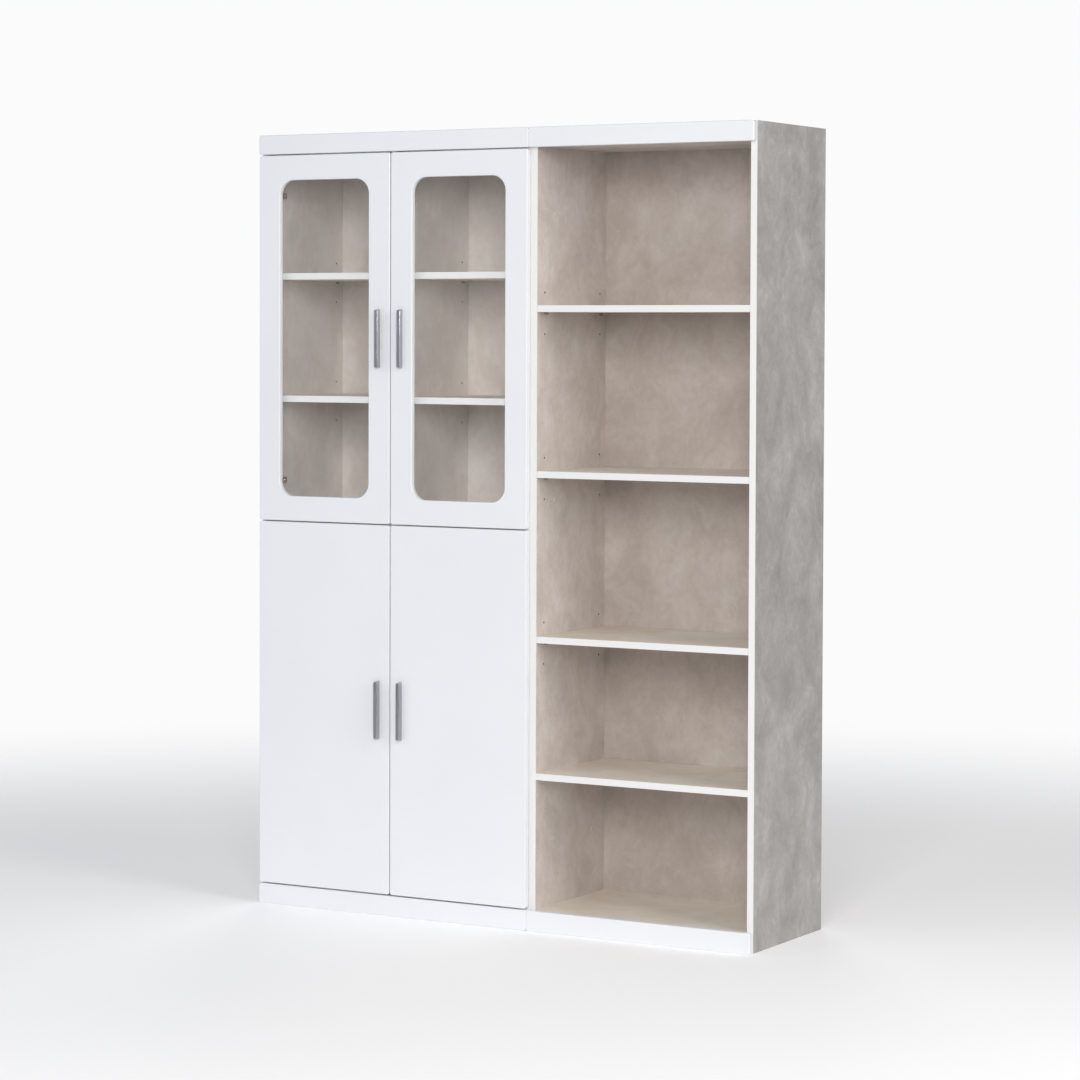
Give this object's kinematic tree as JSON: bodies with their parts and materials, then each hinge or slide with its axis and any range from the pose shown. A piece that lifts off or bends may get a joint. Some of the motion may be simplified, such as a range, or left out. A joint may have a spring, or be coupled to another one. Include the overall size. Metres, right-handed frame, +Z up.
{
  "type": "bookcase",
  "caption": "Tall two-unit bookcase: a cabinet with glazed doors above solid doors, beside an open shelf unit with plinths, top rails and bar handles.",
  "frame": {"origin": "middle of the whole footprint (handles included) on the floor", "axes": "+Z up, -Y towards the front, +X towards the open shelf unit"},
  "size_m": [1.38, 0.404, 1.93],
  "materials": {
    "carcass_laminate": "concrete-look melamine, matt",
    "back_board": "printed hardboard, matt",
    "white_front": "white foil-wrapped MDF, satin",
    "white_edge_band": "white plastic edge band",
    "clear_glass": "clear float glass",
    "clip_plastic": "translucent white plastic",
    "satin_metal": "satin nickel lacquer on zinc casting",
    "nickel_plate": "nickel-plated pressed steel",
    "zinc_cam": "zinc-plated",
    "beech_dowel": "raw fluted beech"
  },
  "bodies": {
    "root": {"cabinet_left_side": "carcass_laminate", "cabinet_right_side": "carcass_laminate", "open_left_side": "carcass_laminate", "open_right_side": "carcass_laminate", "cabinet_lower_divider": "carcass_laminate", "cabinet_upper_divider": "carcass_laminate", "cabinet_top_panel": "carcass_laminate", "cabinet_middle_shelf": "carcass_laminate", "cabinet_bottom_panel": "carcass_laminate", "open_top_panel": "carcass_laminate", "open_fixed_shelf": "carcass_laminate", "open_bottom_panel": "carcass_laminate", "open_shelf_1": "carcass_laminate", "open_shelf_2": "carcass_laminate", "open_shelf_3": "carcass_laminate", "cabinet_upper_left_shelf_1": "carcass_laminate", "cabinet_upper_left_shelf_2": "carcass_laminate", "cabinet_upper_right_shelf_1": "carcass_laminate", "cabinet_upper_right_shelf_2": "carcass_laminate", "cabinet_lower_left_shelf": "carcass_laminate", "cabinet_lower_right_shelf": "carcass_laminate", "cabinet_back_panel": "back_board", "open_back_panel": "back_board", "cabinet_top_rail": "white_front", "cabinet_plinth": "white_front", "open_top_rail": "white_front", "open_plinth": "white_front", "cabinet_shelf_pins": "nickel_plate", "open_shelf_pins": "nickel_plate", "cabinet_edge_bands": "white_edge_band", "open_edge_bands": "white_edge_band", "carcass_cams": "zinc_cam", "carcass_cam_bolts": "zinc_cam", "carcass_dowels": "beech_dowel", "rail_dowels": "beech_dowel", "unit_connectors": "zinc_cam", "hinge_arms": "nickel_plate", "hinge_plates": "nickel_plate", "hinge_plate_screws": "zinc_cam"},
    "upper_left_door": {"upper_left_door": "white_front", "upper_left_handle": "satin_metal", "upper_left_door_screws": "zinc_cam", "upper_left_hinge_cups": "nickel_plate", "upper_left_glass": "clear_glass", "upper_left_glass_clips": "clip_plastic"},
    "upper_right_door": {"upper_right_door": "white_front", "upper_right_handle": "satin_metal", "upper_right_door_screws": "zinc_cam", "upper_right_hinge_cups": "nickel_plate", "upper_right_glass": "clear_glass", "upper_right_glass_clips": "clip_plastic"},
    "lower_left_door": {"lower_left_door": "white_front", "lower_left_handle": "satin_metal", "lower_left_door_screws": "zinc_cam", "lower_left_hinge_cups": "nickel_plate"},
    "lower_right_door": {"lower_right_door": "white_front", "lower_right_handle": "satin_metal", "lower_right_door_screws": "zinc_cam", "lower_right_hinge_cups": "nickel_plate"}
  },
  "joints": [
    {"name": "upper_left_door_hinge", "type": "hinge", "parent": "root", "child": "upper_left_door", "pos_m": [-0.6815, -0.1785, 1.42325], "axis": [0, 0, -1], "range_deg": [0, 95]},
    {"name": "upper_right_door_hinge", "type": "hinge", "parent": "root", "child": "upper_right_door", "pos_m": [0.0815, -0.1785, 1.42325], "axis": [0, 0, 1], "range_deg": [0, 95]},
    {"name": "lower_left_door_hinge", "type": "hinge", "parent": "root", "child": "lower_left_door", "pos_m": [-0.6815, -0.1785, 0.50875], "axis": [0, 0, -1], "range_deg": [0, 95]},
    {"name": "lower_right_door_hinge", "type": "hinge", "parent": "root", "child": "lower_right_door", "pos_m": [0.0815, -0.1785, 0.50875], "axis": [0, 0, 1], "range_deg": [0, 95]}
  ]
}
